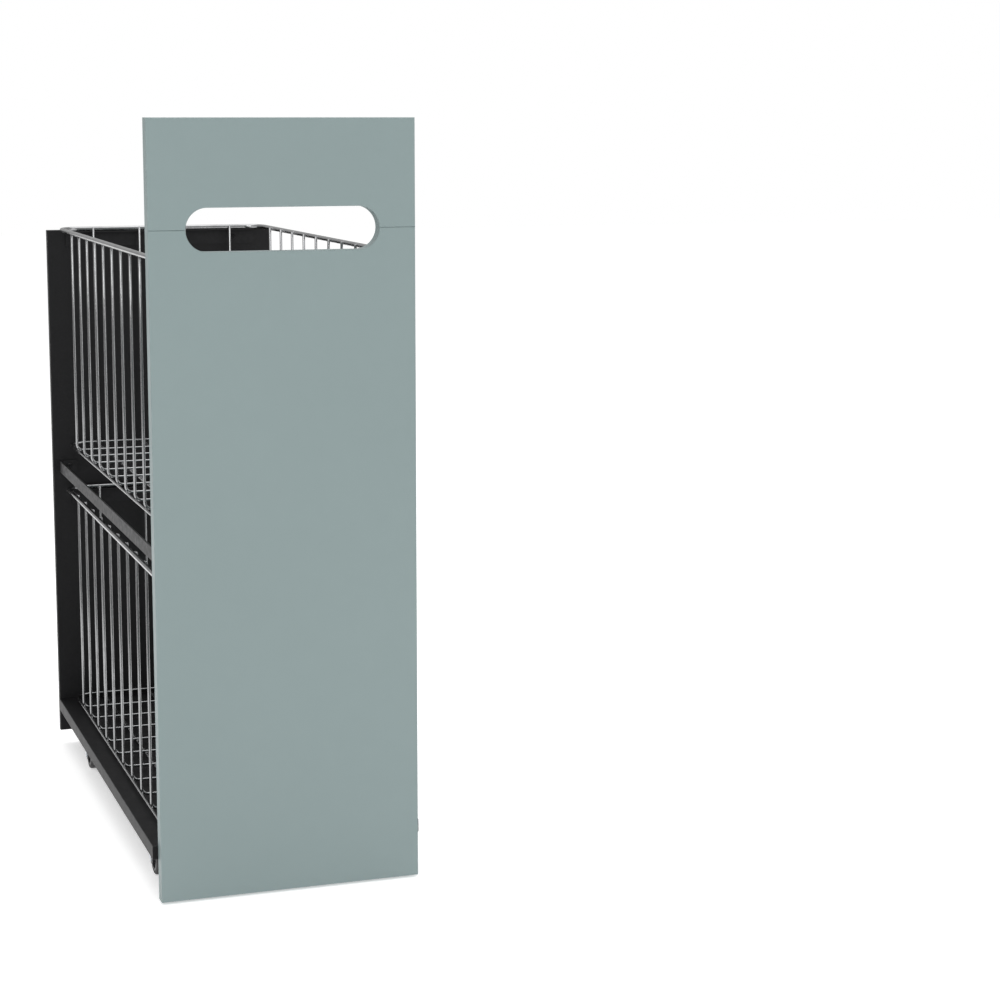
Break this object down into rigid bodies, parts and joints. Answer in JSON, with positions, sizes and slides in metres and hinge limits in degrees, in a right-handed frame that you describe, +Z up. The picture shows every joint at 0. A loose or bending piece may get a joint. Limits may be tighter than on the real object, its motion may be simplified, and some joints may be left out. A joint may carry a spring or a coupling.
{
  "type": "laundry sorter on wheels",
  "caption": "Narrow pull-out laundry sorter on swivel castors: a flat front with a slot handle, a base, a back and deep wire baskets hung one above the other.",
  "frame": {"origin": "on the floor, under the middle of the whole object", "axes": "+Z is up, -Y is the direction the front faces and the way it pulls out, +X is on the right as seen from the front"},
  "size_m": [0.31, 0.712, 0.867],
  "materials": {
    "front_lacquer": "matt grey-green lacquer on fibreboard",
    "black_board": "black faced board, fine matt grain",
    "basket_wire": "plated wire, mid grey with bright highlights",
    "black_steel": "black powder coat",
    "zinc_screw": "zinc plated",
    "black_screw": "black finished screw",
    "castor_steel": "black enamelled pressed steel",
    "wheel_nylon": "moulded nylon",
    "wheel_tyre": "matt rubber",
    "beech_dowel": "fluted beech"
  },
  "bodies": {
    "carcass": {"front_lower_board": "front_lacquer", "front_upper_board": "front_lacquer", "base_board": "black_board", "back_panel": "black_board", "front_dowels": "beech_dowel", "joining_plates": "black_steel", "joining_plate_screws": "zinc_screw", "front_base_brackets": "black_steel", "rear_base_brackets": "black_steel", "base_bracket_screws": "zinc_screw", "left_tie_rail": "black_steel", "right_tie_rail": "black_steel", "tie_rail_screws": "black_screw", "upper_front_rail": "black_steel", "upper_rear_rail": "black_steel", "lower_front_rail": "black_steel", "lower_rear_rail": "black_steel", "rail_screws": "black_screw", "castor_plates": "castor_steel", "castor_screws": "zinc_screw", "castor_kingpins": "castor_steel", "castor_races": "castor_steel"},
    "front_left_fork": {"front_left_castor_fork": "castor_steel", "front_left_castor_axle": "castor_steel"},
    "front_left_wheel": {"front_left_wheel_hub": "wheel_nylon", "front_left_wheel_tyre": "wheel_tyre"},
    "front_right_fork": {"front_right_castor_fork": "castor_steel", "front_right_castor_axle": "castor_steel"},
    "front_right_wheel": {"front_right_wheel_hub": "wheel_nylon", "front_right_wheel_tyre": "wheel_tyre"},
    "rear_left_fork": {"rear_left_castor_fork": "castor_steel", "rear_left_castor_axle": "castor_steel"},
    "rear_left_wheel": {"rear_left_wheel_hub": "wheel_nylon", "rear_left_wheel_tyre": "wheel_tyre"},
    "rear_right_fork": {"rear_right_castor_fork": "castor_steel", "rear_right_castor_axle": "castor_steel"},
    "rear_right_wheel": {"rear_right_wheel_hub": "wheel_nylon", "rear_right_wheel_tyre": "wheel_tyre"},
    "upper_basket": {"upper_basket_rim": "basket_wire", "upper_basket_cross_wires": "basket_wire", "upper_basket_long_wires": "basket_wire", "upper_basket_bottom_ring": "basket_wire"},
    "lower_basket": {"lower_basket_rim": "basket_wire", "lower_basket_cross_wires": "basket_wire", "lower_basket_long_wires": "basket_wire", "lower_basket_bottom_ring": "basket_wire"}
  },
  "joints": [
    {"name": "front_left_swivel", "type": "hinge", "parent": "carcass", "child": "front_left_fork", "pos_m": [-0.128, -0.23, 0.0449], "axis": [0, 0, 1], "continuous": true},
    {"name": "front_left_wheel_spin", "type": "hinge", "parent": "front_left_fork", "child": "front_left_wheel", "pos_m": [-0.128, -0.245, 0.02], "axis": [1, 0, 0], "continuous": true},
    {"name": "front_right_swivel", "type": "hinge", "parent": "carcass", "child": "front_right_fork", "pos_m": [0.128, -0.23, 0.0449], "axis": [0, 0, 1], "continuous": true},
    {"name": "front_right_wheel_spin", "type": "hinge", "parent": "front_right_fork", "child": "front_right_wheel", "pos_m": [0.128, -0.245, 0.02], "axis": [1, 0, 0], "continuous": true},
    {"name": "rear_left_swivel", "type": "hinge", "parent": "carcass", "child": "rear_left_fork", "pos_m": [-0.128, 0.23, 0.0449], "axis": [0, 0, 1], "continuous": true},
    {"name": "rear_left_wheel_spin", "type": "hinge", "parent": "rear_left_fork", "child": "rear_left_wheel", "pos_m": [-0.128, 0.215, 0.02], "axis": [1, 0, 0], "continuous": true},
    {"name": "rear_right_swivel", "type": "hinge", "parent": "carcass", "child": "rear_right_fork", "pos_m": [0.128, 0.23, 0.0449], "axis": [0, 0, 1], "continuous": true},
    {"name": "rear_right_wheel_spin", "type": "hinge", "parent": "rear_right_fork", "child": "rear_right_wheel", "pos_m": [0.128, 0.215, 0.02], "axis": [1, 0, 0], "continuous": true},
    {"name": "upper_basket_slide", "type": "slide", "parent": "carcass", "child": "upper_basket", "axis": [1, 0, 0], "range_m": [-0.2, 0.2]},
    {"name": "lower_basket_slide", "type": "slide", "parent": "carcass", "child": "lower_basket", "axis": [1, 0, 0], "range_m": [-0.2, 0.2]}
  ]
}
